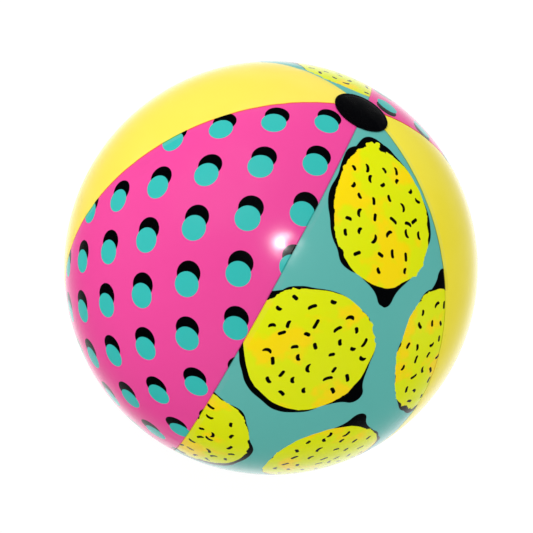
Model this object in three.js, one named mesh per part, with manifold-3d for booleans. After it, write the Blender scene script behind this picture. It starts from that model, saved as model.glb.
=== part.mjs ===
// Inflatable beach ball: six vinyl gores lapped edge over edge, a round cap over each pole, and a
// push-in air valve with a tethered plug and a non-return flap.
// Millimetres. The origin is the centre of the ball, and +Z runs through the upper cap.

import * as THREE from 'three';
import { mergeVertices } from 'three/addons/utils/BufferGeometryUtils.js';
import Module from 'manifold-3d';

const wasm = await Module();
wasm.setup();

// Driving dimensions of the ball.
const BALL_RADIUS = 200;
const FILM = 0.3;
const GAP = 0.3;
const GORE_COUNT = 6;
const LAP = 5;
const STEP_START = 2;
const STEP_END = 0.5;
const POLE_HOLE_RADIUS = 12;
const CAP_RADIUS = 25.6;
const CAP_FILM = 0.5;
// The upper cap is welded on a little off the pole: how far along X and along Y.
const UPPER_CAP_SHIFT = new THREE.Vector2(-1.5, -7.5);

// Driving dimensions of the valve, in its own frame: +Z points out of the ball, +X towards the
// lower pole, and z = 0 is the surface of the ball on the valve's axis.
const VALVE_COLATITUDE = THREE.MathUtils.degToRad(135);
const FILM_HOLE_RADIUS = 9.3;
const FLANGE_INNER = 9;
const FLANGE_OUTER = 15;
const FLANGE_FLAT = 13;
const FLANGE_TOP = 0.9;
const SKIRT_WALL = 0.6;
const SKIRT_DEPTH = 9.4;
// How far the skirt draws in from its mouth and how deep it lies at its two bends.
const SKIRT_BENDS = [[0.2, 3.6], [1.1, 6.9]];
const SKIRT_FOOT_RISE = 0.2;
const BORE_RADIUS = 3.5;
const NECK_RADIUS = 4.6;
const NECK_BEAD_RADIUS = 5;
const NECK_BEAD_HEIGHT = 0.9;
const NECK_MOUTH = -0.6;
const NECK_END = -12.6;
const PLUG_RADIUS = 5.4;
const PLUG_STUB_TOP = 3.2;
const PLUG_STUB_TIP = 2.2;
const PLUG_STUB_LENGTH = 3.6;
const TAB_REACH = 7.2;
const TAB_WIDTH = 4.4;
const TAB_THICKNESS = 0.8;
const TAB_RISE = 0.1;
const STRAP_REACH = 7.4;
const STRAP_WIDTH = 3.4;
const STRAP_THICKNESS = 0.7;
const STRAP_RECESS = 0.1;
const FLAP_RADIUS = 4.4;
const FLAP_THICKNESS = 0.4;
const PUNCH_HEIGHT = 20;

// How finely the round shapes are divided.
const GORE_ROWS = 24;
const GORE_COLUMNS = 5;
const CAP_SEGMENTS = 48;
const CAP_RINGS = 3;
const VALVE_SEGMENTS = 32;

const HALF_GORE = Math.PI / GORE_COUNT;
const MIN_COLATITUDE = Math.asin(POLE_HOLE_RADIUS / BALL_RADIUS);
const LAP_DROP = FILM + GAP;

// The height of the ball's surface at a distance from the valve's axis, in the valve's frame.
function surfaceHeight(distance) {
  return Math.sqrt(BALL_RADIUS ** 2 - distance ** 2) - BALL_RADIUS;
}

function spherePoint(radius, colatitude, azimuth) {
  return [
    radius * Math.sin(colatitude) * Math.cos(azimuth),
    radius * Math.sin(colatitude) * Math.sin(azimuth),
    radius * Math.cos(colatitude),
  ];
}

// The stations across a gore at one colatitude: azimuth from the gore's middle, and how far the film
// lies under the ball's surface. The first edge laps over the gore before it, and the last strip
// steps down and runs under the next gore.
function goreStations(colatitude) {
  const ringRadius = BALL_RADIUS * Math.sin(colatitude);
  const first = -HALF_GORE + (LAP + GAP) / ringRadius;
  const last = HALF_GORE - STEP_START / ringRadius;
  const stations = [{ azimuth: -HALF_GORE, drop: 0 }];
  for (let column = 0; column <= GORE_COLUMNS; column++) {
    const share = column / GORE_COLUMNS;
    stations.push({ azimuth: first + (last - first) * share, drop: 0 });
  }
  stations.push({ azimuth: HALF_GORE - STEP_END / ringRadius, drop: LAP_DROP });
  stations.push({ azimuth: HALF_GORE + LAP / ringRadius, drop: LAP_DROP });
  return stations;
}

// One gore as a closed shell of film thickness, its middle on the +X side.
function goreGeometry() {
  const positions = [];
  const indices = [];
  const width = goreStations(Math.PI / 2).length;
  const layerSize = (GORE_ROWS + 1) * width;
  for (const depth of [0, FILM]) {
    for (let row = 0; row <= GORE_ROWS; row++) {
      const span = Math.PI - 2 * MIN_COLATITUDE;
      const colatitude = MIN_COLATITUDE + (span * row) / GORE_ROWS;
      for (const station of goreStations(colatitude)) {
        const radius = BALL_RADIUS - station.drop - depth;
        positions.push(...spherePoint(radius, colatitude, station.azimuth));
      }
    }
  }
  const quad = (a, b, c, d) => indices.push(a, b, c, a, c, d);
  const outer = (row, column) => row * width + column;
  const inner = (row, column) => layerSize + outer(row, column);
  for (let row = 0; row < GORE_ROWS; row++) {
    for (let column = 0; column < width - 1; column++) {
      const next = [row + 1, column + 1];
      quad(outer(row, column), outer(next[0], column), outer(...next), outer(row, next[1]));
      quad(inner(row, column), inner(row, next[1]), inner(...next), inner(next[0], column));
    }
    const last = width - 1;
    quad(outer(row, 0), inner(row, 0), inner(row + 1, 0), outer(row + 1, 0));
    quad(outer(row, last), outer(row + 1, last), inner(row + 1, last), inner(row, last));
  }
  for (let column = 0; column < width - 1; column++) {
    const end = GORE_ROWS;
    quad(outer(0, column), outer(0, column + 1), inner(0, column + 1), inner(0, column));
    quad(outer(end, column), inner(end, column), inner(end, column + 1), outer(end, column + 1));
  }
  const geometry = new THREE.BufferGeometry();
  geometry.setAttribute('position', new THREE.Float32BufferAttribute(positions, 3));
  geometry.setIndex(indices);
  return geometry;
}

// A solid of revolution about +Z from [radius, height] points, listed anticlockwise.
function lathe(profile, segments = VALVE_SEGMENTS) {
  const points = profile.map(([radius, height]) => new THREE.Vector2(radius, height));
  return new THREE.LatheGeometry(points, segments).rotateX(Math.PI / 2);
}

function closedRing(profile) {
  return lathe([...profile, profile[0]]);
}

// A shape drawn in X and Z, given its width along Y and centred on it.
function extrudeAlongY(shape, width) {
  const options = { depth: width, bevelEnabled: false, curveSegments: 8 };
  return new THREE.ExtrudeGeometry(shape, options).rotateX(Math.PI / 2).translate(0, width / 2, 0);
}

function solidOf(geometry) {
  const bare = geometry.clone();
  bare.deleteAttribute('normal');
  bare.deleteAttribute('uv');
  const merged = mergeVertices(bare, 1e-4);
  const vertProperties = new Float32Array(merged.attributes.position.array);
  const triVerts = new Uint32Array(merged.index.array);
  return new wasm.Manifold(new wasm.Mesh({ numProp: 3, vertProperties, triVerts }));
}

function geometryOf(solid) {
  const { vertProperties, triVerts } = solid.getMesh();
  const geometry = new THREE.BufferGeometry();
  geometry.setAttribute('position', new THREE.Float32BufferAttribute(vertProperties, 3));
  geometry.setIndex(Array.from(triVerts));
  return geometry;
}

function placeInValve(object) {
  object.position.fromArray(spherePoint(BALL_RADIUS, VALVE_COLATITUDE, 0));
  object.rotation.y = VALVE_COLATITUDE;
  return object;
}

// The gore that carries the valve has a round hole on the valve's axis.
function goreWithHole() {
  const radius = FILM_HOLE_RADIUS;
  const punch = new THREE.CylinderGeometry(radius, radius, PUNCH_HEIGHT, VALVE_SEGMENTS);
  const placed = placeInValve(new THREE.Object3D());
  placed.updateMatrix();
  punch.rotateX(Math.PI / 2).applyMatrix4(placed.matrix);
  return geometryOf(solidOf(goreGeometry()).subtract(solidOf(punch)));
}

function capGeometry() {
  const reach = CAP_RADIUS / BALL_RADIUS;
  const arc = (radius) => {
    const points = [];
    for (let ring = 0; ring <= CAP_RINGS; ring++) {
      const angle = (reach * ring) / CAP_RINGS;
      points.push([radius * Math.sin(angle), radius * Math.cos(angle)]);
    }
    return points;
  };
  const under = arc(BALL_RADIUS + GAP);
  const top = arc(BALL_RADIUS + GAP + CAP_FILM);
  return lathe([...under, ...top.reverse()], CAP_SEGMENTS);
}

function flangeGeometry() {
  const rim = surfaceHeight(FLANGE_OUTER) + GAP;
  return closedRing([
    [FLANGE_INNER, surfaceHeight(FLANGE_INNER) + GAP],
    [FLANGE_OUTER, rim],
    [FLANGE_OUTER, rim + FILM],
    [FLANGE_FLAT, FLANGE_TOP],
    [FLANGE_INNER, FLANGE_TOP],
  ]);
}

// The flexible skirt is a well that hangs from the flange and joins the neck near its inner end.
function skirtGeometry() {
  const mouth = FLANGE_INNER - GAP;
  const foot = NECK_RADIUS + GAP;
  const top = FLANGE_TOP - GAP;
  const wall = [
    [mouth, top],
    ...SKIRT_BENDS.map(([draw, depth]) => [mouth - draw, -depth]),
    [foot, -SKIRT_DEPTH],
  ];
  const lining = wall.map(([radius, height]) => [radius - SKIRT_WALL, height + SKIRT_WALL / 3]);
  lining[0] = [mouth - SKIRT_WALL, top];
  lining[3] = [foot, SKIRT_WALL - SKIRT_DEPTH + SKIRT_FOOT_RISE];
  return closedRing([...wall.reverse(), ...lining]);
}

function neckGeometry() {
  const beadFoot = NECK_MOUTH - NECK_BEAD_HEIGHT;
  return closedRing([
    [BORE_RADIUS, NECK_END],
    [NECK_RADIUS, NECK_END],
    [NECK_RADIUS, beadFoot],
    [NECK_BEAD_RADIUS, beadFoot],
    [NECK_BEAD_RADIUS, NECK_MOUTH],
    [BORE_RADIUS, NECK_MOUTH],
  ]);
}

// The plug is a round head with a tapered stub in the bore and a thumb tab on its -X side.
function plugGeometry() {
  const seat = NECK_MOUTH + GAP;
  const body = lathe([
    [0, seat - PLUG_STUB_LENGTH],
    [PLUG_STUB_TIP, seat - PLUG_STUB_LENGTH],
    [PLUG_STUB_TOP, seat],
    [PLUG_RADIUS, seat],
    [PLUG_RADIUS, FLANGE_TOP],
    [0, FLANGE_TOP],
  ]);
  const corner = TAB_WIDTH / 4;
  const tab = new THREE.Shape();
  tab.moveTo(0, -TAB_WIDTH / 2);
  tab.lineTo(0, TAB_WIDTH / 2);
  tab.lineTo(corner - TAB_REACH, TAB_WIDTH / 2);
  tab.absarc(corner - TAB_REACH, TAB_WIDTH / 2 - corner, corner, Math.PI / 2, Math.PI);
  tab.absarc(corner - TAB_REACH, corner - TAB_WIDTH / 2, corner, Math.PI, 1.5 * Math.PI);
  tab.closePath();
  const options = { depth: TAB_THICKNESS, bevelEnabled: false, curveSegments: 4 };
  const tabBody = new THREE.ExtrudeGeometry(tab, options).translate(0, 0, seat + TAB_RISE);
  return geometryOf(solidOf(body).add(solidOf(tabBody)));
}

// The strap leaves the neck's bead, folds back on itself and ends at the plug's head.
function strapGeometry() {
  const lowest = NECK_MOUTH - NECK_BEAD_HEIGHT;
  const highest = FLANGE_TOP - STRAP_RECESS;
  const bend = (highest - lowest) / 2;
  const middle = (highest + lowest) / 2;
  const bendCentre = STRAP_REACH - bend;
  const start = NECK_BEAD_RADIUS + GAP;
  const end = PLUG_RADIUS + GAP;
  const shape = new THREE.Shape();
  shape.moveTo(start, lowest);
  shape.lineTo(bendCentre, lowest);
  shape.absarc(bendCentre, middle, bend, -Math.PI / 2, Math.PI / 2);
  shape.lineTo(end, highest);
  shape.lineTo(end, highest - STRAP_THICKNESS);
  shape.lineTo(bendCentre, highest - STRAP_THICKNESS);
  shape.absarc(bendCentre, middle, bend - STRAP_THICKNESS, Math.PI / 2, -Math.PI / 2, true);
  shape.lineTo(start, lowest + STRAP_THICKNESS);
  shape.closePath();
  return extrudeAlongY(shape, STRAP_WIDTH);
}

function flapGeometry() {
  const top = NECK_END - GAP;
  return lathe([
    [0, top - FLAP_THICKNESS],
    [FLAP_RADIUS, top - FLAP_THICKNESS],
    [FLAP_RADIUS, top],
    [0, top],
  ]);
}

function film(color, roughness = 0.3) {
  return new THREE.MeshStandardMaterial({ color, roughness, metalness: 0 });
}

function part(name, geometry, material) {
  const mesh = new THREE.Mesh(geometry, material);
  mesh.name = name;
  return mesh;
}

const PINK = 0xf24ba0;
const TEAL = 0x5fb9b1;
const YELLOW = 0xf0dc4a;
const BLACK = 0x0a0a0c;
const VALVE_WHITE = 0xe9eae6;

// The six gores in order round the ball, by the direction that each faces.
const GORES = [
  ['gore_yellow_right', YELLOW],
  ['gore_pink_back', PINK],
  ['gore_teal_back', TEAL],
  ['gore_yellow_left', YELLOW],
  ['gore_pink_front', PINK],
  ['gore_teal_front', TEAL],
];

const ball = new THREE.Group();
GORES.forEach(([name, color], place) => {
  const gore = part(name, place === 0 ? goreWithHole() : goreGeometry(), film(color));
  gore.rotation.z = 2 * HALF_GORE * place;
  ball.add(gore);
});

const upperCap = part('cap_upper', capGeometry(), film(BLACK, 0.2));
upperCap.rotation.x = -UPPER_CAP_SHIFT.y / BALL_RADIUS;
upperCap.rotation.y = UPPER_CAP_SHIFT.x / BALL_RADIUS;
const lowerCap = part('cap_lower', capGeometry(), film(BLACK, 0.2));
lowerCap.rotation.x = Math.PI;
ball.add(upperCap, lowerCap);

const valve = placeInValve(new THREE.Group());
valve.add(
  part('valve_flange', flangeGeometry(), film(VALVE_WHITE, 0.4)),
  part('valve_skirt', skirtGeometry(), film(VALVE_WHITE, 0.4)),
  part('valve_neck', neckGeometry(), film(VALVE_WHITE, 0.4)),
  part('plug_strap', strapGeometry(), film(VALVE_WHITE, 0.4)),
  part('valve_plug', plugGeometry(), film(VALVE_WHITE, 0.4)),
  part('check_flap', flapGeometry(), film(VALVE_WHITE, 0.4)),
);
ball.add(valve);

export default ball;
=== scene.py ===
"""Looks for the inflatable beach ball: six printed vinyl gores, two round caps and an air valve.

Shapes are worked out in millimetres, in the frame's own axes, and written to meshes in metres.
"""

import math

import bpy
import numpy as np
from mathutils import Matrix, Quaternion, Vector


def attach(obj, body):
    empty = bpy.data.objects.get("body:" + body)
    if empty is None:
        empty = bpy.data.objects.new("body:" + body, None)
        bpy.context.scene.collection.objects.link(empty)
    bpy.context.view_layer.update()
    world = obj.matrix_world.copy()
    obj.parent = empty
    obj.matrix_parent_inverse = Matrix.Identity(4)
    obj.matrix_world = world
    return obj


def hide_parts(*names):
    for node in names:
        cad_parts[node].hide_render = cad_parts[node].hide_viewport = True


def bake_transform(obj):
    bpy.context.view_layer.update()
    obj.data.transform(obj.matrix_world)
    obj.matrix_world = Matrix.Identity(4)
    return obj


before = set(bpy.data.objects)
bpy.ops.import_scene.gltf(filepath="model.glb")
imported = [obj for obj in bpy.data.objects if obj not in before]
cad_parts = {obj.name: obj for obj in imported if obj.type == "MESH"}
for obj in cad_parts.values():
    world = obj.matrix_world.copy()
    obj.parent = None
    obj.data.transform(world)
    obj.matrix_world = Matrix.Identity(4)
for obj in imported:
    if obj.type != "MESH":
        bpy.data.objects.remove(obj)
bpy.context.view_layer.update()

MM = 0.001

# ---------------------------------------------------------------- sizes, in millimetres

BALL_RADIUS = 200.0
FILM = 0.3
LAP = 5.0
# A gore sinks below the next one by LAP_DROP, over a step that starts this far short of the seam.
LAP_DROP = 0.45
LAP_STEP_START = 1.0
LAP_STEP_WIDTH = 0.9
GORE_ANGLE = math.radians(60)
POLE_HOLE = 12.0
CAP_RADIUS = 25.6
CAP_GAP = 0.3
CAP_FILM = 0.5
UPPER_CAP_SHIFT = (-1.5, -7.5)

VALVE_COLATITUDE = math.radians(135)
VALVE_HOLE = 10.4
FLANGE_INNER = 9.0
FLANGE_OUTER = 15.0
FLANGE_TOP = 0.9
SKIRT_WALL = 0.6
SKIRT_DEPTH = 9.4
BORE_RADIUS = 3.5
NECK_RADIUS = 4.6
NECK_BEAD = 5.0
NECK_MOUTH = -0.6
NECK_END = -12.6
PLUG_RADIUS = 5.4
PLUG_SEAT = -0.3
FLAP_RADIUS = 4.4
FLAP_TOP = -12.9

# Each gore's CAD node, the azimuth of its middle in degrees, its print and how far the print is
# shifted on it. Seam n lies between gore n and the next one.
GORES = (
    ("gore_yellow_right", 0, "yellow", (0, 0)),
    ("gore_pink_back", 60, "spots", (-0.3, -13)),
    ("gore_teal_back", 120, "fruit", (22, -158)),
    # The left yellow gore is the same film as the right one; its paler yellow is painted light.
    ("gore_yellow_left", 180, "painted_lit_yellow", (0, 0)),
    ("gore_pink_front", 240, "spots", (0, 0)),
    ("gore_teal_front", 300, "fruit", (0, 0)),
)
# Where the print below darkens each film's cut edge: the width it keeps, where it ends, and how
# strongly.
EDGE_SHADE = {
    "yellow": (0.35, 0.8, 0.6),
    "painted_lit_yellow": (0.35, 0.8, 0.6),
    "spots": (0.7, 1.5, 0.95),
    "fruit": (0.35, 0.8, 0.5),
}
# How much of the print below shows through each film's lightest ink where it laps over its neighbour.
SHOW_THROUGH = {"yellow": 0.13, "painted_lit_yellow": 0.13, "spots": 0.1, "fruit": 0.05}
SEAMS = len(GORES)


def from_seam(azimuth, seam):
    """The angle round the pole from a seam to each azimuth, up to half a turn either way."""
    line = math.radians(30 + 60 * seam)
    return (azimuth - line + math.pi) % (2 * math.pi) - math.pi


# ---------------------------------------------------------------- shader graphs

# Nearly all of a noise texture's values lie in this range.
NOISE_RANGE = (0.3, 0.7)


class Term:
    """A number in a shader graph. Arithmetic on it adds Math nodes."""

    def __init__(self, graph, socket):
        self.graph = graph
        self.socket = socket

    def __add__(self, other):
        return self.graph.math("ADD", self, other)

    def __radd__(self, other):
        return self.graph.math("ADD", other, self)

    def __sub__(self, other):
        return self.graph.math("SUBTRACT", self, other)

    def __rsub__(self, other):
        return self.graph.math("SUBTRACT", other, self)

    def __mul__(self, other):
        return self.graph.math("MULTIPLY", self, other)

    def __rmul__(self, other):
        return self.graph.math("MULTIPLY", other, self)

    def __truediv__(self, other):
        return self.graph.math("DIVIDE", self, other)

    def __lt__(self, other):
        return self.graph.math("LESS_THAN", self, other)

    def __abs__(self):
        return self.graph.math("ABSOLUTE", self)


class Graph:
    """Adds nodes to a node tree. Its calls take sockets, terms and plain numbers alike."""

    def __init__(self, tree):
        self.tree = tree

    def feed(self, socket, value):
        if isinstance(value, Term):
            value = value.socket
        if isinstance(value, bpy.types.NodeSocket):
            self.tree.links.new(value, socket)
        else:
            socket.default_value = value

    def node(self, kind, inputs=None, **settings):
        node = self.tree.nodes.new("ShaderNode" + kind)
        for name, value in settings.items():
            setattr(node, name, value)
        for name, value in (inputs or {}).items():
            self.feed(node.inputs[name], value)
        return node

    def math(self, operation, *values):
        node = self.node("Math", dict(enumerate(values)), operation=operation)
        return Term(self, node.outputs[0])

    def vector(self, operation, *values):
        node = self.node("VectorMath", dict(enumerate(values)), operation=operation)
        return node.outputs[0]

    def length(self, vector):
        node = self.node("VectorMath", {0: vector}, operation="LENGTH")
        return Term(self, node.outputs["Value"])

    def split(self, vector):
        node = self.node("SeparateXYZ", {0: vector})
        return [Term(self, output) for output in node.outputs]

    def join(self, x, y, z=0.0):
        return self.node("CombineXYZ", {0: x, 1: y, 2: z}).outputs[0]

    def mix(self, factor, a, b, kind="RGBA", blend="MIX"):
        places = {"FLOAT": (2, 3, 0), "VECTOR": (4, 5, 1), "RGBA": (6, 7, 2)}[kind]
        node = self.node("Mix", data_type=kind)
        if kind == "RGBA":
            node.blend_type = blend
        for place, value in zip((0, places[0], places[1]), (factor, a, b)):
            self.feed(node.inputs[place], value)
        return node.outputs[places[2]]

    def noise(self, vector, size, detail=2.0, roughness=0.5, dimensions="2D"):
        """Noise with features about as large as size."""
        inputs = {"Vector": vector, "Scale": 1 / size, "Detail": detail, "Roughness": roughness}
        node = self.node("TexNoise", inputs, noise_dimensions=dimensions)
        return Term(self, node.outputs[0])

    def ramp(self, value, low, high, to_low=0.0, to_high=1.0):
        """value, eased from to_low at low to to_high at high."""
        inputs = {0: value, 1: low, 2: high, 3: to_low, 4: to_high}
        node = self.node("MapRange", inputs, interpolation_type="SMOOTHSTEP")
        return Term(self, node.outputs[0])

    def attribute(self, name):
        return self.node("Attribute", attribute_name=name)


def srgb(red, green, blue):
    """A colour as the eye names it, 0 to 255, as the linear colour that a shader takes."""
    linear = []
    for channel in (red, green, blue):
        share = channel / 255
        linear.append(share / 12.92 if share <= 0.04045 else ((share + 0.055) / 1.055) ** 2.4)
    return (*linear, 1.0)


INK_BLACK = srgb(1, 2, 4)
HAZY_BLACK = srgb(4, 4, 6)
PINK = srgb(236, 72, 155)
SPOT_TEAL = srgb(52, 186, 179)
PANEL_TEAL = srgb(94, 182, 174)
LIME = srgb(226, 236, 0)
WARM_YELLOW = srgb(253, 222, 0)
YELLOWS = (srgb(245, 228, 54), srgb(247, 231, 68))
# Painted light: the left yellow gore is the same film as the right one, coloured paler here to stand in
# for the stronger light and white haze that fall on that side.
PAINTED_LIT_YELLOWS = (srgb(247, 224, 84), srgb(249, 228, 96))
VALVE_WHITE = srgb(238, 239, 232)
CLOUDY_WHITE = srgb(229, 232, 226)


def ink_edge(graph, distance, softness=0.25):
    """1 where distance is below zero, with an edge as soft as ink on film."""
    return graph.ramp(distance, -softness, softness, 1.0, 0.0)


def print_group(name, draw):
    """A node group from flat coordinates in millimetres to a printed colour."""
    tree = bpy.data.node_groups.new(name, "ShaderNodeTree")
    tree.interface.new_socket("Flat", in_out="INPUT", socket_type="NodeSocketVector")
    tree.interface.new_socket("Colour", in_out="OUTPUT", socket_type="NodeSocketColor")
    start = tree.nodes.new("NodeGroupInput")
    end = tree.nodes.new("NodeGroupOutput")
    colour = draw(Graph(tree), start.outputs[0])
    tree.links.new(colour, end.inputs[0])
    return tree


# ---------------------------------------------------------------- the print with round spots

SPOT_COLUMN = 53.8
SPOT_ROW = 37.45
SPOT_FIRST = (2.1, 52.7)
SPOT_SLANT = 0.94
SPOT_RADIUS = 10.7
SHADE_RADIUS = 10.6
SHADE_SHIFT = (-4.7, -7.9)


def draw_spots(graph, flat):
    """Round teal spots in staggered rows, each with a black disc behind its upper left."""
    x, y, _ = graph.split(flat)
    row_place = (y - SPOT_FIRST[1]) / SPOT_ROW
    row = graph.math("ROUND", row_place)
    down = (row_place - row) * SPOT_ROW
    odd = abs(graph.math("MODULO", row, 2))
    column_place = (x - SPOT_FIRST[0] - SPOT_SLANT * row) / SPOT_COLUMN + 0.5 * odd
    across = (column_place - graph.math("ROUND", column_place)) * SPOT_COLUMN
    spot = graph.length(graph.join(across, down)) - SPOT_RADIUS
    shade = graph.length(graph.join(across - SHADE_SHIFT[0], down - SHADE_SHIFT[1])) - SHADE_RADIUS
    colour = graph.mix(ink_edge(graph, shade), PINK, INK_BLACK)
    return graph.mix(ink_edge(graph, spot), colour, SPOT_TEAL)


# ---------------------------------------------------------------- the print with citrus fruit

FRUIT_HALF = (51, 62)
FRUIT_MEAN = 56
FRUIT_TAPER = 0.0017
TIP_HEIGHT = 15.5
TIP_RADIUS = 4.8
TIP_FLARE = 38
STALK_HEIGHT = 4
STALK_RADIUS = 1.5
STALK_FLARE = 50
REPEAT = 640

# The brush's unevenness: how far its noise is shifted on the print, the size of each noise's features,
# and how many millimetres each moves an edge.
BRUSH_SHIFT = (3500, 0, 0)
SWELL_SIZE, SWELL = 34, 6
RAGGED_SIZE = 8
DRIFT_SIZE, DRIFT = 46, 13
# The fill's edge is ragged in patches, between these values of the patches' noise, by these amounts.
PATCH_SIZE = 40
PATCH_RANGE = (0.48, 0.6)
PATCH_RAGGED = (1.0, 5.5)
# The fill frays towards the stalk, over these heights above the fruit's top.
STALK_END = (-26, -4)
STALK_RAGGED = 8
# The leafy crown round the stalk: its half width, how far it stands above and below the fruit's top,
# and how ragged it is.
CROWN_HALF = 6.8
CROWN_ABOVE = 3.8
CROWN_BELOW = 8
CROWN_RAGGED = 9
# The black lies off register behind the fill, and a thinner black body carries the tip and stalk.
OUTLINE_SHIFT = (2.3, 2.4, 0)
OUTLINE_SPREAD = 1.9
BODY_INSET = 0.6
# Where the skin turns from lime to warm yellow in the blotches' noise.
BLOTCH_SIZE = 42
BLOTCH_RANGE = (0.5, 0.64)

# Seed marks: their pitch, how irregularly they lie, the range of their turns, the bend, the half length
# of the shortest and how much longer others are, the stroke's half width, and how far out they go.
SEED_PITCH = 15.6
SEED_SCATTER = 0.58
SEED_TURN = math.radians(150)
SEED_BEND = 0.24
SEED_HALF_LENGTH = 1.2
SEED_EXTRA_LENGTH = 1.6
SEED_STROKE = 1.6
SEED_REACH = 0.88
# Each fruit takes its seeds from another part of the pattern.
SEED_STEP = (137, 3.1)

# Each fruit's middle, its half width and half length, and the turn of its tip from straight down.
# The print repeats down the film.
FRUITS = (
    ((1.5, 110.5), (47.5, 62), 6),
    ((-46.5, 237), (55.5, 57), 59),
    ((87, 228.5), (48, 65.5), -170),
    ((-94, 380), (48, 69), -159),
    ((28, 371), (51, 63), 180),
    ((-44, 512), (46, 56), 70),
    ((66, 492), (46, 60), 165),
    ((22, 612), (44, 54), -35),
    ((-76, 640), (46, 54), 110),
)


def nearest_fruit(graph, flat):
    """The place in the nearest fruit, with its tip down, and the fruit's number."""
    x, y, _ = graph.split(flat)
    for index, (middle, half, turn) in enumerate(FRUITS):
        wrapped = graph.math("WRAP", y, middle[1] + REPEAT / 2, middle[1] - REPEAT / 2)
        inputs = {
            "Vector": graph.join(x, wrapped),
            "Location": (*middle, 0),
            "Rotation": (0, 0, -math.radians(turn)),
            "Scale": (half[0] / FRUIT_HALF[0], half[1] / FRUIT_HALF[1], 1),
        }
        place = graph.node("Mapping", inputs, vector_type="TEXTURE").outputs[0]
        distance = fruit_reach(graph, place)
        if index == 0:
            local, reach, number = place, distance, 0.0
            continue
        nearer = distance < reach
        local = graph.mix(nearer, local, place, "VECTOR")
        number = graph.mix(nearer, number, float(index), "FLOAT")
        reach = graph.math("MINIMUM", distance, reach)
    return local, Term(graph, number)


def fruit_reach(graph, local):
    """How far out in the fruit's oval a place is: 0 in its middle and 1 at its edge. The oval is
    narrower towards the stalk."""
    x, y, _ = graph.split(local)
    tapered = x * (1 - FRUIT_TAPER * y) / FRUIT_HALF[0]
    return graph.length(graph.join(tapered, y / FRUIT_HALF[1]))


def draw_seeds(graph, local, number):
    """Short, slightly bent dashes scattered over the fruit."""
    shift = graph.join(number * SEED_STEP[0], number * SEED_STEP[1])
    place = graph.vector("ADD", local, shift)
    inputs = {"Vector": place, "Scale": 1 / SEED_PITCH, "Randomness": SEED_SCATTER}
    cells = graph.node("TexVoronoi", inputs, voronoi_dimensions="2D")
    centre = cells.outputs["Position"]
    chance = graph.split(cells.outputs["Color"])
    turn = (chance[0] - 0.5) * SEED_TURN
    inputs = {"Vector": graph.vector("SUBTRACT", place, centre), "Angle": turn}
    turned = graph.node("VectorRotate", inputs, rotation_type="Z_AXIS").outputs[0]
    across, along, _ = graph.split(turned)
    bent = across + (chance[1] - 0.5) * SEED_BEND * along * along
    half_length = SEED_HALF_LENGTH + SEED_EXTRA_LENGTH * chance[2]
    beyond = graph.math("MAXIMUM", abs(along) - half_length, 0.0)
    dash = graph.length(graph.join(bent, beyond)) - SEED_STROKE
    in_fruit = fruit_reach(graph, graph.vector("SUBTRACT", centre, shift)) < SEED_REACH
    return ink_edge(graph, dash) * in_fruit


def draw_fruit(graph, flat):
    """Yellow fruit with loose black outlines, drawn off register on teal."""
    local, number = nearest_fruit(graph, flat)
    x, y, _ = graph.split(local)
    brush = graph.vector("ADD", flat, BRUSH_SHIFT)
    slow = graph.noise(brush, SWELL_SIZE, 1)
    ragged = graph.noise(brush, RAGGED_SIZE, 2, 0.5)
    patchy = graph.noise(brush, PATCH_SIZE, 1)
    over_stalk = -1 * y - FRUIT_HALF[1]
    stalk_end = graph.ramp(over_stalk, *STALK_END)
    patches = graph.ramp(patchy, *PATCH_RANGE, *PATCH_RAGGED)
    rough_edge = (ragged - 0.5) * graph.math("MAXIMUM", patches, stalk_end * STALK_RAGGED)
    fill = (fruit_reach(graph, local) - 1) * FRUIT_MEAN + (slow - 0.5) * SWELL
    fill = fill + rough_edge + stalk_end
    crown = graph.math("MAXIMUM", abs(x) - CROWN_HALF, over_stalk - CROWN_ABOVE)
    crown = crown + (ragged - 0.5) * CROWN_RAGGED
    crown = graph.math("MAXIMUM", crown, -CROWN_BELOW - over_stalk)
    fill = graph.math("MINIMUM", fill, crown)

    moved = graph.vector("ADD", local, OUTLINE_SHIFT)
    drift = graph.noise(brush, DRIFT_SIZE, 1)
    outline = (fruit_reach(graph, moved) - 1) * FRUIT_MEAN + (slow - 0.5) * SWELL - OUTLINE_SPREAD
    outline = outline + (drift - 0.5) * DRIFT
    body = (fruit_reach(graph, local) - 1) * FRUIT_MEAN + BODY_INSET - stalk_end
    past_tip = graph.math("MAXIMUM", y - (FRUIT_HALF[1] + TIP_HEIGHT - TIP_RADIUS), -1 * y)
    tip = graph.length(graph.join(x, graph.math("MAXIMUM", past_tip, 0.0))) - TIP_RADIUS
    past_stalk = graph.math("MAXIMUM", over_stalk - (STALK_HEIGHT - STALK_RADIUS), y)
    stalk = graph.length(graph.join(x, graph.math("MAXIMUM", past_stalk, 0.0))) - STALK_RADIUS
    tipped = graph.math("SMOOTH_MIN", body, tip, TIP_FLARE)
    stalked = graph.math("SMOOTH_MIN", body, stalk, STALK_FLARE)
    black = graph.math("MINIMUM", outline, graph.math("MINIMUM", tipped, stalked))

    blotch = graph.noise(brush, BLOTCH_SIZE, 3, 0.5)
    skin = graph.mix(graph.ramp(blotch, *BLOTCH_RANGE), LIME, WARM_YELLOW)
    colour = graph.mix(ink_edge(graph, black), PANEL_TEAL, INK_BLACK)
    colour = graph.mix(ink_edge(graph, fill), colour, skin)
    return graph.mix(draw_seeds(graph, local, number), colour, INK_BLACK)


CLOUD_SIZE = 90


def draw_plain(graph, flat, colours):
    """Film of one colour all through, a little uneven."""
    cloud = graph.noise(flat, CLOUD_SIZE, 2)
    return graph.mix(graph.ramp(cloud, *NOISE_RANGE), *colours)


def draw_yellow(graph, flat):
    return draw_plain(graph, flat, YELLOWS)


# Painted light: the yellow film in a paler, lit copy, for the left yellow gore.
def draw_painted_lit_yellow(graph, flat):
    return draw_plain(graph, flat, PAINTED_LIT_YELLOWS)


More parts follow.
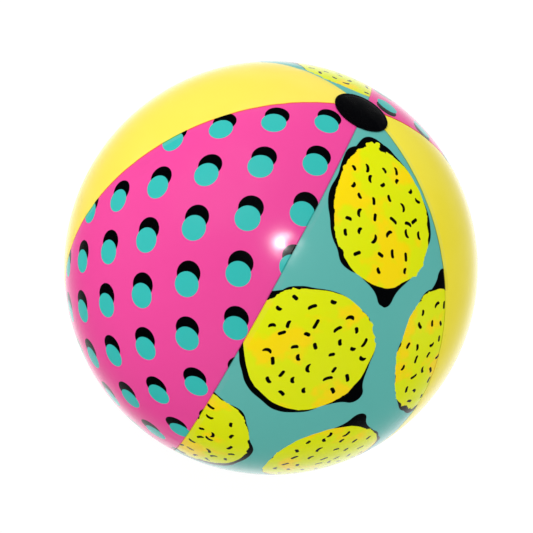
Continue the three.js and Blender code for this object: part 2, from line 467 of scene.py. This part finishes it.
PRINTS = {
    "yellow": print_group("yellow_film", draw_yellow),
    "painted_lit_yellow": print_group("painted_lit_yellow_film", draw_painted_lit_yellow),
    "spots": print_group("spot_print", draw_spots),
    "fruit": print_group("fruit_print", draw_fruit),
}


# ---------------------------------------------------------------- materials


def glossy_material(name, roughness, **constants):
    """A material with its graph and its Principled shader, whose constants are on its own sockets."""
    material = bpy.data.materials.new(name)
    material.use_nodes = True
    shader = material.node_tree.nodes["Principled BSDF"]
    shader.inputs["Roughness"].default_value = roughness
    for socket, value in constants.items():
        shader.inputs[socket.replace("_", " ")].default_value = value
    return material, Graph(material.node_tree), shader


def roughen(graph, shader, haze, roughness, grain):
    """Lets the roughness follow the haze over its range, and adds fine bumps. grain is the bumps' size,
    strength and height, in metres."""
    graph.feed(shader.inputs["Roughness"], graph.ramp(haze, *NOISE_RANGE, *roughness))
    size, strength, height = grain
    place = graph.node("TexCoord").outputs["Object"]
    bumps = graph.noise(place, size, 2, 0.5, "3D")
    bump = graph.node("Bump", {"Height": bumps, "Strength": strength, "Distance": height})
    graph.feed(shader.inputs["Normal"], bump.outputs[0])


# How far short of its end and past it the lap's show-through fades.
THROUGH_FADE = (0.5, 0.3)


def printed_colour(graph, kind, attribute, shift):
    place = graph.attribute(attribute).outputs["Vector"]
    moved = graph.vector("SUBTRACT", place, (*shift, 0))
    group = graph.tree.nodes.new("ShaderNodeGroup")
    group.node_tree = PRINTS[kind]
    graph.feed(group.inputs[0], moved)
    return group.outputs[0]


def film_material(name, own, below):
    """Printed film. Along its lapped edge the print of the gore below shows through faintly. own and
    below are rows of GORES."""
    material, graph, shader = glossy_material(
        name, 0.2, IOR=1.5, Sheen_Weight=0.1, Sheen_Roughness=0.2
    )
    _, _, kind, shift = own
    _, _, kind_below, shift_below = below
    colour = printed_colour(graph, kind, "flat", shift)
    under = printed_colour(graph, kind_below, "flat_below", shift_below)
    lap = Term(graph, graph.attribute("lap").outputs["Fac"])
    thin_ink = graph.split(colour)[1]
    fade_start, fade_end = LAP - THROUGH_FADE[0], LAP + THROUGH_FADE[1]
    through = graph.ramp(lap, fade_start, fade_end, SHOW_THROUGH[kind], 0.0) * thin_ink
    colour = graph.mix(through, colour, under)
    both = graph.mix(1.0, colour, under, blend="MULTIPLY")
    colour = graph.mix(graph.ramp(lap, *EDGE_SHADE[kind], 0.0), colour, both)
    graph.feed(shader.inputs["Base Color"], colour)
    haze = graph.noise(graph.node("TexCoord").outputs["Object"], 0.09, 3, 0.6, "3D")
    roughen(graph, shader, haze, roughness=(0.13, 0.2), grain=(0.012, 0.05, 0.0004))
    return material


def black_material():
    """Deep black vinyl for the caps, slightly hazy in patches."""
    material, graph, shader = glossy_material(
        "black_film", 0.35, IOR=1.4, Specular_IOR_Level=0.3
    )
    haze = graph.noise(graph.node("TexCoord").outputs["Object"], 0.02, 3, 0.6, "3D")
    graph.feed(shader.inputs["Base Color"], graph.mix(haze, INK_BLACK, HAZY_BLACK))
    roughen(graph, shader, haze, roughness=(0.2, 0.3), grain=(0.0012, 0.08, 0.0002))
    return material


def valve_material():
    """Soft clear-white vinyl, a little cloudy."""
    material, graph, shader = glossy_material(
        "valve_vinyl", 0.28, IOR=1.5, Subsurface_Weight=0.35, Subsurface_Scale=0.004
    )
    cloud = graph.noise(graph.node("TexCoord").outputs["Object"], 0.006, 2, 0.5, "3D")
    graph.feed(shader.inputs["Base Color"], graph.mix(cloud, VALVE_WHITE, CLOUDY_WHITE))
    roughen(graph, shader, cloud, roughness=(0.24, 0.34), grain=(0.0006, 0.06, 0.0001))
    return material


# ---------------------------------------------------------------- meshes


def make_piece(name, points, faces, material, sharp=40):
    """A new mesh piece from points in millimetres."""
    mesh = bpy.data.meshes.new(name)
    mesh.from_pydata((np.asarray(points) * MM).tolist(), [], [list(face) for face in faces])
    mesh.materials.append(material)
    mesh.shade_smooth()
    mesh.set_sharp_from_angle(angle=math.radians(sharp))
    mesh.validate()
    piece = bpy.data.objects.new(name, mesh)
    bpy.context.scene.collection.objects.link(piece)
    return piece


def store(piece, name, kind, values):
    """Keeps one value for each vertex of a piece: kind is FLOAT or FLOAT_VECTOR."""
    layer = piece.data.attributes.new(name, kind, "POINT")
    key = "value" if kind == "FLOAT" else "vector"
    layer.data.foreach_set(key, np.asarray(values, np.float32).ravel())


def sphere_points(radius, colatitude, azimuth):
    return np.stack(
        [
            radius * np.sin(colatitude) * np.cos(azimuth),
            radius * np.sin(colatitude) * np.sin(azimuth),
            radius * np.cos(colatitude),
        ],
        axis=-1,
    )


def flat_place(colatitude, azimuth, middle):
    """Where a point of the ball lies on a gore's flat film: millimetres across from its middle line,
    and down from the upper pole."""
    turn = azimuth - middle
    across = BALL_RADIUS * np.arcsin(np.sin(colatitude) * np.sin(turn))
    down = BALL_RADIUS * np.arctan2(np.sin(colatitude) * np.cos(turn), np.cos(colatitude))
    return np.stack([across, down, np.zeros_like(across)], axis=-1)


# ---------------------------------------------------------------- the film's relief

VALLEY_DEPTH = 0.14
VALLEY_WIDTH = 5
PUCKER_WAVES = 7
PUCKER_HEIGHT = 0.03
PUCKER_REACH = 10
CREASES_PER_SEAM = 5
CREASE_WIDTH = 5.5
CREASE_SLANT = 0.25
# A crease starts a little way across its seam, as a share of its reach.
CREASE_START = -0.4
# The relief grows from nothing over this distance outside each cap.
RELIEF_EASE = 30

chance = np.random.default_rng(7)
pucker_lengths = chance.uniform(11, 31, (SEAMS, PUCKER_WAVES))
pucker_phases = chance.uniform(0, 2 * math.pi, (SEAMS, PUCKER_WAVES))
crease_places = chance.uniform(70, 560, (SEAMS, CREASES_PER_SEAM))
crease_depths = chance.uniform(0.1, 0.3, (SEAMS, CREASES_PER_SEAM))
crease_reaches = chance.uniform(9, 24, (SEAMS, CREASES_PER_SEAM))
crease_sides = chance.choice([-1, 1], (SEAMS, CREASES_PER_SEAM))

# One long dent beside the seam of the pink front gore and the left yellow gore: its distance from the
# pole and from the seam, its half length and half width, and its depth.
DENT_SEAM = 3
DENT_PLACE = (204, 12)
DENT_HALF = (22, 7)
DENT_DEPTH = 2.2


def film_relief(colatitude, azimuth):
    """How far the blown-up film stands off a true sphere: a faint valley along each seam, small puckers
    where the weld gathers the film, a few short creases that run out from the seams, and the dent."""
    relief = np.zeros_like(colatitude)
    along = BALL_RADIUS * colatitude
    for seam in range(SEAMS):
        away = BALL_RADIUS * np.sin(colatitude) * from_seam(azimuth, seam)
        relief -= VALLEY_DEPTH * np.exp(-((away / VALLEY_WIDTH) ** 2))
        waves = np.zeros_like(along)
        for length, phase in zip(pucker_lengths[seam], pucker_phases[seam]):
            waves += np.sin(2 * math.pi * along / length + phase)
        relief += PUCKER_HEIGHT * waves * np.exp(-((away / PUCKER_REACH) ** 2))
        for crease in range(CREASES_PER_SEAM):
            side = crease_sides[seam, crease]
            reach = crease_reaches[seam, crease]
            outward = away * side / reach
            fade = np.exp(-(np.clip(outward, 0, None) ** 2)) * (outward > CREASE_START)
            slanted = along - crease_places[seam, crease] - CREASE_SLANT * away
            offset = slanted / CREASE_WIDTH
            relief -= crease_depths[seam, crease] * np.exp(-(offset**2)) * fade
        if seam == DENT_SEAM:
            down = (along - DENT_PLACE[0]) / DENT_HALF[0]
            aside = (away - DENT_PLACE[1]) / DENT_HALF[1]
            relief -= DENT_DEPTH * np.exp(-(down**2) - aside**2)
    from_pole = np.minimum(along, math.pi * BALL_RADIUS - along)
    ease = np.clip((from_pole - CAP_RADIUS) / RELIEF_EASE, 0, 1)
    return relief * ease * ease * (3 - 2 * ease)


# ---------------------------------------------------------------- gores

# A gore's grid has even cells across its middle and finer columns in the strips along its edges, whose
# distances from the edge are listed. The columns draw together where the gore is narrow.
GORE_ROWS = 208
GORE_CELLS = 62
EDGE = 8.0
NARROW_GORE = 40
NARROW_LAP = 20
NEAR_FIRST_EDGE = (0, 0.3, 0.8, 1.6, 2.8, 4.2, 6)
NEAR_LAST_SEAM = (6, 4.2, 2.8, 1.8, 1.2, 1.0, 0.85, 0.7, 0.5, 0.3, 0.1)
UNDER_NEXT_GORE = (0, 1.2, 2.5, 3.8, LAP)


def gore_grid(middle):
    """Colatitude, azimuth and distance from the gore's first edge, for each row and column."""
    end = math.asin(POLE_HOLE / BALL_RADIUS)
    colatitude = np.linspace(end, math.pi - end, GORE_ROWS)[:, None]
    ring = BALL_RADIUS * np.sin(colatitude)
    width = ring * GORE_ANGLE
    squeeze = np.minimum(1, width / NARROW_GORE)
    spread = np.linspace(0, 1, GORE_CELLS + 1)[None, :]
    arcs = np.hstack(
        [
            np.array(NEAR_FIRST_EDGE)[None, :] * squeeze,
            EDGE * squeeze + (width - 2 * EDGE * squeeze) * spread,
            width - np.array(NEAR_LAST_SEAM)[None, :] * squeeze,
            width + np.array(UNDER_NEXT_GORE)[None, :] * np.minimum(1, width / NARROW_LAP),
        ]
    )
    azimuth = middle - GORE_ANGLE / 2 + arcs / ring
    return np.broadcast_to(colatitude, arcs.shape), azimuth, arcs, width


def grid_faces(rows, columns):
    """Quads of a grid, wound so that they face out when columns run east and rows run south."""
    index = np.arange(rows * columns).reshape(rows, columns)
    corners = [index[:-1, :-1], index[1:, :-1], index[1:, 1:], index[:-1, 1:]]
    return np.stack([c.ravel() for c in corners], axis=-1)


def shell(outer_faces, count):
    """Faces of a closed shell whose inner points follow the outer ones in the same order."""
    edges = dict.fromkeys(
        (int(a), int(b)) for face in outer_faces for a, b in zip(face, np.roll(face, -1))
    )
    rim = [(b, a, a + count, b + count) for a, b in edges if (b, a) not in edges]
    inner = outer_faces[:, ::-1] + count
    return [*outer_faces.tolist(), *inner.tolist(), *rim]


VALVE_OUT = np.array([math.sin(VALVE_COLATITUDE), 0, math.cos(VALVE_COLATITUDE)])
VALVE_DOWN = np.array([math.cos(VALVE_COLATITUDE), 0, -math.sin(VALVE_COLATITUDE)])
# Faces this close outside the hole go too, so that its rounded rim has room.
HOLE_MARGIN = 0.6


def open_valve_hole(points, faces):
    """Takes out the faces at the valve and rounds the hole they leave."""
    height = points @ VALVE_OUT
    from_axis = points - height[:, None] * VALVE_OUT
    distance = np.linalg.norm(from_axis, axis=1)
    near = (distance < VALVE_HOLE + HOLE_MARGIN) & (height > 0)
    cut = near[faces].any(axis=1)
    kept = faces[~cut]
    rim = np.intersect1d(np.unique(kept), np.unique(faces[cut]))
    scale = VALVE_HOLE / distance[rim]
    lift = np.sqrt(BALL_RADIUS**2 - VALVE_HOLE**2)
    points[rim] = from_axis[rim] * scale[:, None] + lift * VALVE_OUT
    return kept


def make_gore(place):
    node, angle, kind, _ = GORES[place]
    middle = math.radians(angle)
    colatitude, azimuth, arcs, width = gore_grid(middle)
    step = np.clip((arcs - (width - LAP_STEP_START)) / LAP_STEP_WIDTH, 0, 1)
    drop = LAP_DROP * step * step * (3 - 2 * step)
    relief = film_relief(colatitude, azimuth)
    radius = BALL_RADIUS + relief - drop
    rows, columns = arcs.shape
    faces = grid_faces(rows, columns)
    outer = sphere_points(radius, colatitude, azimuth).reshape(-1, 3)
    if node == "gore_yellow_right":
        faces = open_valve_hole(outer, faces)
    inner = outer * (1 - FILM / np.linalg.norm(outer, axis=1, keepdims=True))
    used = np.unique(faces)
    renumber = np.full(len(outer), -1)
    renumber[used] = np.arange(len(used))
    points = np.vstack([outer[used], inner[used]])
    piece_faces = shell(renumber[faces], len(used))
    material = film_material("film_" + node, GORES[place], GORES[place - 1])
    piece = make_piece("skin_" + node, points, piece_faces, material)
    flat = flat_place(colatitude, azimuth, middle).reshape(-1, 3)[used]
    below = flat_place(colatitude, azimuth, middle - GORE_ANGLE).reshape(-1, 3)[used]
    store(piece, "flat", "FLOAT_VECTOR", np.vstack([flat, flat]))
    store(piece, "flat_below", "FLOAT_VECTOR", np.vstack([below, below]))
    store(piece, "lap", "FLOAT", np.tile(arcs.reshape(-1)[used], 2))
    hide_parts(node)
    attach(piece, "ball")


for place in range(len(GORES)):
    make_gore(place)


# ---------------------------------------------------------------- round shapes


def fillet(corners, steps=6):
    """A closed outline from (x, y, radius) corners, each rounded by an arc of that radius."""
    outline = []
    count = len(corners)
    for i, (x, y, radius) in enumerate(corners):
        here = np.array([x, y], float)
        back = np.array(corners[i - 1][:2], float) - here
        ahead = np.array(corners[(i + 1) % count][:2], float) - here
        if radius <= 0:
            outline.append(here)
            continue
        back_length, ahead_length = np.linalg.norm(back), np.linalg.norm(ahead)
        back, ahead = back / back_length, ahead / ahead_length
        half = math.acos(float(np.clip(back @ ahead, -1, 1))) / 2
        reach = min(radius / math.tan(half), 0.48 * back_length, 0.48 * ahead_length)
        start, end = here + back * reach, here + ahead * reach
        for step in range(steps + 1):
            t = step / steps
            outline.append((1 - t) ** 2 * start + 2 * t * (1 - t) * here + t**2 * end)
    return np.array(outline)


def lathe(outline, segments=96):
    """Points and faces of an outline of (radius, height) turned about Z. An outline that starts and
    ends on the axis closes there."""
    outline = np.asarray(outline, float)
    on_axis = outline[0, 0] < 1e-6 and outline[-1, 0] < 1e-6
    turned = outline[1:-1] if on_axis else outline
    angles = np.linspace(0, 2 * math.pi, segments, endpoint=False)
    rings = [
        np.column_stack([r * np.cos(angles), r * np.sin(angles), np.full(segments, z)])
        for r, z in turned
    ]
    points = np.vstack(rings)
    faces = []
    count = len(turned)
    for ring in range(count - 1 if on_axis else count):
        following = (ring + 1) % count
        for s in range(segments):
            t = (s + 1) % segments
            a, b = ring * segments, following * segments
            faces.append((a + s, a + t, b + t, b + s))
    if on_axis:
        first, last = len(points), len(points) + 1
        ends = [(0, 0, outline[0, 1]), (0, 0, outline[-1, 1])]
        points = np.vstack([points, ends])
        top = (count - 1) * segments
        for s in range(segments):
            t = (s + 1) % segments
            faces.append((first, t, s))
            faces.append((last, top + s, top + t))
    return points, faces


# ---------------------------------------------------------------- caps


CAP_SEGMENTS = 144
CAP_RINGS = 24
CAP_RIM_WIDTH = 2
# The ring pressed into a cap by its weld.
WELD_RADIUS = 22.6
WELD_WIDTH = 0.8
WELD_DEPTH = 0.14
# The ridge that each lap raises: its height, half width, widest angle from the seam, and the distances
# over which it rises near the pole and falls at the cap's rim.
RIDGE_HEIGHT = 0.05
RIDGE_HALF = 3
RIDGE_ANGLE = 1.2
RIDGE_START = 6
RIDGE_RISE = 8
RIDGE_FALL = 3


def make_cap(node, turn):
    """A round black film welded over a pole. The laps below it lift it a little in six places."""
    under = BALL_RADIUS + CAP_GAP
    rim = fillet(
        [
            (0, under, 0),
            (CAP_RADIUS - 0.1, under, 0.1),
            (CAP_RADIUS, under + CAP_FILM, 0.35),
            (0, under + CAP_FILM, 0),
        ]
    )
    reaches = list(np.linspace(0, CAP_RADIUS - CAP_RIM_WIDTH, CAP_RINGS))
    outline = [(r, under) for r in reaches]
    outline += [point for point in rim if point[0] > CAP_RADIUS - CAP_RIM_WIDTH]
    outline += [(r, under + CAP_FILM) for r in reversed(reaches)]
    points, faces = lathe(outline, CAP_SEGMENTS)
    arc = np.hypot(points[:, 0], points[:, 1])
    azimuth = np.arctan2(points[:, 1], points[:, 0])
    lift = np.zeros(len(points))
    for seam in range(SEAMS):
        side = from_seam(azimuth, seam)
        away = arc * side
        ridge = np.exp(-((away - LAP / 2) ** 2) / RIDGE_HALF**2) * (np.abs(side) < RIDGE_ANGLE)
        rise = np.clip((arc - RIDGE_START) / RIDGE_RISE, 0, 1)
        fall = np.clip((CAP_RADIUS - arc) / RIDGE_FALL, 0, 1)
        lift += RIDGE_HEIGHT * ridge * rise * fall
    weld = np.exp(-(((arc - WELD_RADIUS) / WELD_WIDTH) ** 2))
    top = points[:, 2] > under + 0.6 * CAP_FILM
    radius = points[:, 2] + np.where(top, lift - WELD_DEPTH * weld, 0)
    placed = sphere_points(radius, arc / BALL_RADIUS, azimuth) @ np.array(turn.to_matrix()).T
    piece = make_piece("disc_" + node, placed, faces, black_film)
    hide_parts(node)
    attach(piece, "ball")


black_film = black_material()
shift_x, shift_y = UPPER_CAP_SHIFT
shift_turns = (
    Quaternion((1, 0, 0), -shift_y / BALL_RADIUS),
    Quaternion((0, 1, 0), shift_x / BALL_RADIUS),
)
make_cap("cap_upper", shift_turns[0] @ shift_turns[1])
make_cap("cap_lower", Quaternion((1, 0, 0), math.pi))


# ---------------------------------------------------------------- the valve, in its own frame

valve_vinyl = valve_material()
VALVE_AXES = np.column_stack([VALVE_DOWN, [0, 1, 0], VALVE_OUT])


def from_valve(points):
    """Points in the valve's frame, z outward from the ball's surface and x towards the lower pole,
    as points in the row frame."""
    return np.asarray(points, float) @ VALVE_AXES.T + BALL_RADIUS * VALVE_OUT


def surface_height(distance):
    return math.sqrt(BALL_RADIUS**2 - distance**2) - BALL_RADIUS


def valve_piece(name, points, faces, node, sharp=40):
    piece = make_piece(name, from_valve(points), faces, valve_vinyl, sharp)
    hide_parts(node)
    return piece


FLANGE_GAP = 0.12
SKIRT_ROWS = 28
STRAP_HALF = (1.7, 0.32)
STRAP_REACH = 7.05
STRAP_TOP = 0.42
STRAP_STEPS = 16
STUB_LENGTH = 3.6
TAB_HALF = (2.2, 0.36)
TAB_ROOT = -4.6
TAB_ROUNDING = 0.87
RIB_HALF = (1.3, 0.12)
RIB_FIRST = -5.75
RIB_PITCH = 0.45
RIB_HALF_LENGTH = 0.09
FLAP_FILM = 0.36


def make_flange():
    """The welded ring, with a groove pressed round it near its rim."""
    rim = surface_height(FLANGE_OUTER) + FLANGE_GAP
    outline = fillet(
        [
            (FLANGE_INNER, surface_height(FLANGE_INNER) + 0.1, 0.1),
            (FLANGE_OUTER, rim, 0.05),
            (FLANGE_OUTER, rim + 0.45, 0.2),
            (FLANGE_OUTER - 1.0, rim + 0.5, 0.3),
            (FLANGE_OUTER - 1.35, rim + 0.34, 0.2),
            (FLANGE_OUTER - 1.8, rim + 0.62, 0.3),
            (FLANGE_OUTER - 2.6, FLANGE_TOP, 0.6),
            (FLANGE_INNER, FLANGE_TOP, 0.35),
        ]
    )
    points, faces = lathe(outline[::-1])
    flange = valve_piece("welded_flange", points, faces, "valve_flange")
    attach(flange, "ball")


def make_skirt():
    """The thin well between flange and neck, which on the real valve turns inside out as the neck is
    pulled out; this mesh keeps its resting shape.
    """
    mouth, foot, top = FLANGE_INNER - 0.05, NECK_RADIUS + 0.05, FLANGE_TOP - 0.3
    t = np.linspace(0, 1, SKIRT_ROWS)
    control = [(mouth, top), (mouth - 0.1, -5.2), (mouth - 0.6, -8.9), (foot, -SKIRT_DEPTH)]
    weights = [(1 - t) ** 3, 3 * t * (1 - t) ** 2, 3 * t * t * (1 - t), t**3]
    wall = sum(w[:, None] * np.array(c) for w, c in zip(weights, control))
    slope = np.gradient(wall, axis=0)
    slope /= np.linalg.norm(slope, axis=1, keepdims=True)
    inward = np.column_stack([slope[:, 1], -slope[:, 0]])
    lining = wall + SKIRT_WALL * inward
    points, faces = lathe(np.vstack([wall, lining[::-1]]))
    skirt = valve_piece("folding_skirt", points, faces, "valve_skirt")
    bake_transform(skirt)


def make_neck():
    """The tube that air is blown through, with a bead round its mouth."""
    outline = fillet(
        [
            (BORE_RADIUS, NECK_END, 0.15),
            (NECK_RADIUS, NECK_END, 0.3),
            (NECK_RADIUS, NECK_MOUTH - 1.4, 0.4),
            (NECK_BEAD, NECK_MOUTH - 0.9, 0.3),
            (NECK_BEAD, NECK_MOUTH, 0.35),
            (BORE_RADIUS, NECK_MOUTH, 0.3),
        ]
    )
    points, faces = lathe(outline)
    neck = valve_piece("blow_neck", points, faces, "valve_neck")
    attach(neck, "stem")


def rounded_bar(stations, half_width, half_height, corner_steps=4):
    """A band with rounded edges, its width along Y, through stations of (x, z, tangent angle, share of
    the width)."""
    corners = ((-1, -1), (1, -1), (1, 1), (-1, 1))
    section = fillet(
        [(half_width * a, half_height * b, half_height * 0.8) for a, b in corners], corner_steps
    )
    points, faces = [], []
    count = len(section)
    for x, z, angle, width in stations:
        for across, lift in section:
            points.append((x - lift * math.sin(angle), across * width, z + lift * math.cos(angle)))
    for station in range(len(stations) - 1):
        for s in range(count):
            t = (s + 1) % count
            a, b = station * count, (station + 1) * count
            faces.append((a + s, b + s, b + t, a + t))
    faces.append(tuple(range(count)))
    faces.append(tuple(reversed(range(len(points) - count, len(points)))))
    return np.array(points), faces


def make_strap():
    """The band that ties the plug to the neck, folded back on itself."""
    low, high = NECK_MOUTH - 0.55, STRAP_TOP
    bend = (high - low) / 2
    middle, centre = (high + low) / 2, STRAP_REACH - bend
    stations = [(x, low, 0.0, w) for x, w in ((4.9, 1.15), (5.2, 1.05), (5.6, 1.0), (5.9, 1.0))]
    for step in range(STRAP_STEPS + 1):
        angle = -math.pi / 2 + math.pi * step / STRAP_STEPS
        x, z = centre + bend * math.cos(angle), middle + bend * math.sin(angle)
        stations.append((x, z, angle + math.pi / 2, 1.0 - 0.14 * math.cos(angle)))
    back = ((5.9, 1.0), (5.6, 1.0), (5.35, 1.08), (5.1, 1.2))
    stations += [(x, high, math.pi, w) for x, w in back]
    points, faces = rounded_bar(stations, *STRAP_HALF)
    strap = valve_piece("tether_strap", points, faces, "plug_strap")
    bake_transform(strap)


def make_plug():
    """Head, snap-in stub and a ribbed thumb tab, in one moulding."""
    seat, top = PLUG_SEAT, FLANGE_TOP
    outline = fillet(
        [
            (0, seat - STUB_LENGTH, 0),
            (2.2, seat - STUB_LENGTH, 0.5),
            (2.75, seat - 2.4, 0.3),
            (3.3, seat - 1.9, 0.3),
            (3.0, seat - 1.2, 0.3),
            (3.15, seat, 0.2),
            (PLUG_RADIUS, seat, 0.35),
            (PLUG_RADIUS, top, 0.4),
            (4.3, top, 0.25),
            (4.0, top - 0.18, 0.25),
            (0, top - 0.22, 0),
        ]
    )
    points, faces = lathe(outline)
    plug = valve_piece("stopper", points, faces, "valve_plug")
    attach(plug, "plug")

    stations = [(TAB_ROOT - 2.6 * s / 12, seat + 0.5 + 0.1 * s / 12, math.pi, 1.0) for s in range(9)]
    for step in range(1, 9):
        angle = math.pi / 2 * step / 8
        x, width = -6.33 - TAB_ROUNDING * math.sin(angle), max(math.cos(angle), 0.3)
        stations.append((x, seat + 0.58, math.pi, width))
    tab_points, tab_faces = rounded_bar(stations, *TAB_HALF)
    tab = make_piece("thumb_tab", from_valve(tab_points), tab_faces, valve_vinyl)
    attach(tab, "plug")
    for rib in range(3):
        x = RIB_FIRST - RIB_PITCH * rib
        ends = (x - RIB_HALF_LENGTH, x + RIB_HALF_LENGTH)
        rib_stations = [(end, seat + 0.93, 0.0, 1.0) for end in ends]
        rib_points, rib_faces = rounded_bar(rib_stations, *RIB_HALF)
        grip = make_piece(
            f"grip_rib_{rib + 1}", from_valve(rib_points), rib_faces, valve_vinyl
        )
        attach(grip, "plug")


def make_flap():
    """The disc that closes the neck's inner end, with a low boss that centres it in the bore."""
    outline = fillet(
        [
            (0, FLAP_TOP - FLAP_FILM, 0),
            (FLAP_RADIUS - 0.5, FLAP_TOP - FLAP_FILM, 0.3),
            (FLAP_RADIUS, FLAP_TOP - 0.18, 0.1),
            (FLAP_RADIUS, FLAP_TOP, 0.08),
            (BORE_RADIUS - 0.3, FLAP_TOP, 0.2),
            (BORE_RADIUS - 0.6, FLAP_TOP + 0.08, 0.2),
            (0, FLAP_TOP + 0.1, 0),
        ]
    )
    points, faces = lathe(outline, 64)
    flap = valve_piece("air_flap", points, faces, "check_flap")
    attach(flap, "flap")


make_flange()
make_skirt()
make_neck()
make_strap()
make_plug()
make_flap()


# ---------------------------------------------------------------- camera

CAMERA_AZIMUTH = -3.34
CAMERA_ELEVATION = 35.65
CAMERA_ROLL = 30.54
CAMERA_DISTANCE = 1.084
CAMERA_LENS = 74.4
CAMERA_SHIFT = (-0.0084, 0.0028)


def direction_at(azimuth, elevation):
    """The direction from the ball towards a place: azimuth 0 is on the -Y side, 90 on the +X side."""
    a, e = math.radians(azimuth), math.radians(elevation)
    return Vector((math.sin(a) * math.cos(e), -math.cos(a) * math.cos(e), math.sin(e)))


camera_side = direction_at(CAMERA_AZIMUTH, CAMERA_ELEVATION)
camera_data = bpy.data.cameras.new("camera")
camera_data.sensor_width = 36
camera_data.lens = CAMERA_LENS
camera_data.shift_x, camera_data.shift_y = CAMERA_SHIFT
camera = bpy.data.objects.new("camera", camera_data)
bpy.context.scene.collection.objects.link(camera)
camera.rotation_mode = "QUATERNION"
level = (-camera_side).to_track_quat("-Z", "Y")
camera_turn = level @ Quaternion((0, 0, 1), math.radians(CAMERA_ROLL))
camera.location = camera_side * CAMERA_DISTANCE
camera.rotation_quaternion = camera_turn
bpy.context.scene.camera = camera


# ---------------------------------------------------------------- studio


def seen_from_camera(right, up, back):
    """A direction given along the picture's right, its up, and towards the camera."""
    return (camera_turn @ Vector((right, up, back))).normalized()


def soft_light(name, direction, distance, size, power, glossy=False):
    """A round lamp that faces the ball, and that no camera sees."""
    data = bpy.data.lights.new(name, "AREA")
    data.shape = "DISK"
    data.size = size
    data.energy = power
    lamp = bpy.data.objects.new(name, data)
    bpy.context.scene.collection.objects.link(lamp)
    lamp.location = direction * distance
    lamp.rotation_mode = "QUATERNION"
    lamp.rotation_quaternion = (-direction).to_track_quat("-Z", "Y")
    lamp.visible_camera = False
    lamp.visible_glossy = glossy
    return lamp


soft_light("key", seen_from_camera(-0.4, 0.66, 0.64), distance=3.0, size=2.6, power=42)
soft_light("fill_back", direction_at(215, 25), distance=3.2, size=2.6, power=30)
soft_light("fill_side", direction_at(100, 10), distance=3.2, size=2.4, power=19)

# The small lamp that makes the highlight, at an angle from the line to the camera and turned about it.
GLINT_ANGLE = math.radians(12.9)
GLINT_TURN = math.radians(68)
glint_side = math.sin(GLINT_ANGLE)
glint_direction = seen_from_camera(
    glint_side * math.cos(GLINT_TURN), glint_side * math.sin(GLINT_TURN), math.cos(GLINT_ANGLE)
)
glint = soft_light("glint", glint_direction, distance=1.5, size=0.14, power=5, glossy=True)
glint.visible_diffuse = False

# The room as reflections see it: nearly black, and bright only well behind the ball. The axis is the
# darkest direction, and the brightness grows as a power of how far a ray points away from it.
ROOM_LIGHT = 0.74
BACKDROP_AXIS = (-0.04, 0.08, 1)
BACKDROP_START = 0.1
BACKDROP_SPAN = -0.8
BACKDROP_POWER = 4
BACKDROP_PEAK = 1.15
BACKDROP_LEAST = 0.008
FLOOR_HALF = 6.0
FLOOR_GLOW = 0.98


def make_world():
    """A white room: bright to look at, dimmer as light and dimmest in reflections."""
    world = bpy.data.worlds.new("studio")
    world.use_nodes = True
    bpy.context.scene.world = world
    graph = Graph(world.node_tree)
    background = world.node_tree.nodes["Background"]
    path = graph.node("LightPath")
    direction = graph.node("TexCoord").outputs["Generated"]
    inputs = {0: direction, 1: seen_from_camera(*BACKDROP_AXIS)}
    towards = graph.node("VectorMath", inputs, operation="DOT_PRODUCT")
    facing = Term(graph, towards.outputs["Value"])
    behind = graph.math("MAXIMUM", (facing + BACKDROP_START) / BACKDROP_SPAN, 0.0)
    glow = graph.math("MINIMUM", graph.math("POWER", behind, BACKDROP_POWER), 1.0)
    backdrop = glow * BACKDROP_PEAK + BACKDROP_LEAST
    strength = graph.mix(path.outputs["Is Glossy Ray"], ROOM_LIGHT, backdrop, "FLOAT")
    strength = graph.mix(path.outputs["Is Camera Ray"], strength, 1.0, "FLOAT")
    background.inputs["Color"].default_value = (1, 1, 1, 1)
    graph.feed(background.inputs["Strength"], strength)


def make_floor():
    """A plain white floor that the ball rests on."""
    mesh = bpy.data.meshes.new("floor")
    height = -(BALL_RADIUS + CAP_GAP + CAP_FILM) * MM
    ways = ((-1, -1), (1, -1), (1, 1), (-1, 1))
    corners = [(a * FLOOR_HALF, b * FLOOR_HALF, height) for a, b in ways]
    mesh.from_pydata(corners, [], [(0, 1, 2, 3)])
    material = bpy.data.materials.new("floor")
    material.use_nodes = True
    graph = Graph(material.node_tree)
    nodes = material.node_tree.nodes
    nodes.remove(nodes["Principled BSDF"])
    path = graph.node("LightPath")
    faint = graph.node("BsdfDiffuse", {"Color": (0.05, 0.05, 0.05, 1)}).outputs[0]
    glow = graph.node("Emission", {"Color": (1, 1, 1, 1), "Strength": FLOOR_GLOW}).outputs[0]
    shown = graph.node("AddShader", {0: faint, 1: glow}).outputs[0]
    lit = graph.node("BsdfDiffuse", {"Color": (0.92, 0.92, 0.92, 1)}).outputs[0]
    inputs = {0: path.outputs["Is Camera Ray"], 1: lit, 2: shown}
    mixed = graph.node("MixShader", inputs).outputs[0]
    graph.feed(nodes["Material Output"].inputs["Surface"], mixed)
    mesh.materials.append(material)
    floor = bpy.data.objects.new("floor", mesh)
    bpy.context.scene.collection.objects.link(floor)
    floor.visible_glossy = False


make_world()
make_floor()
bpy.context.scene.view_settings.view_transform = "Standard"
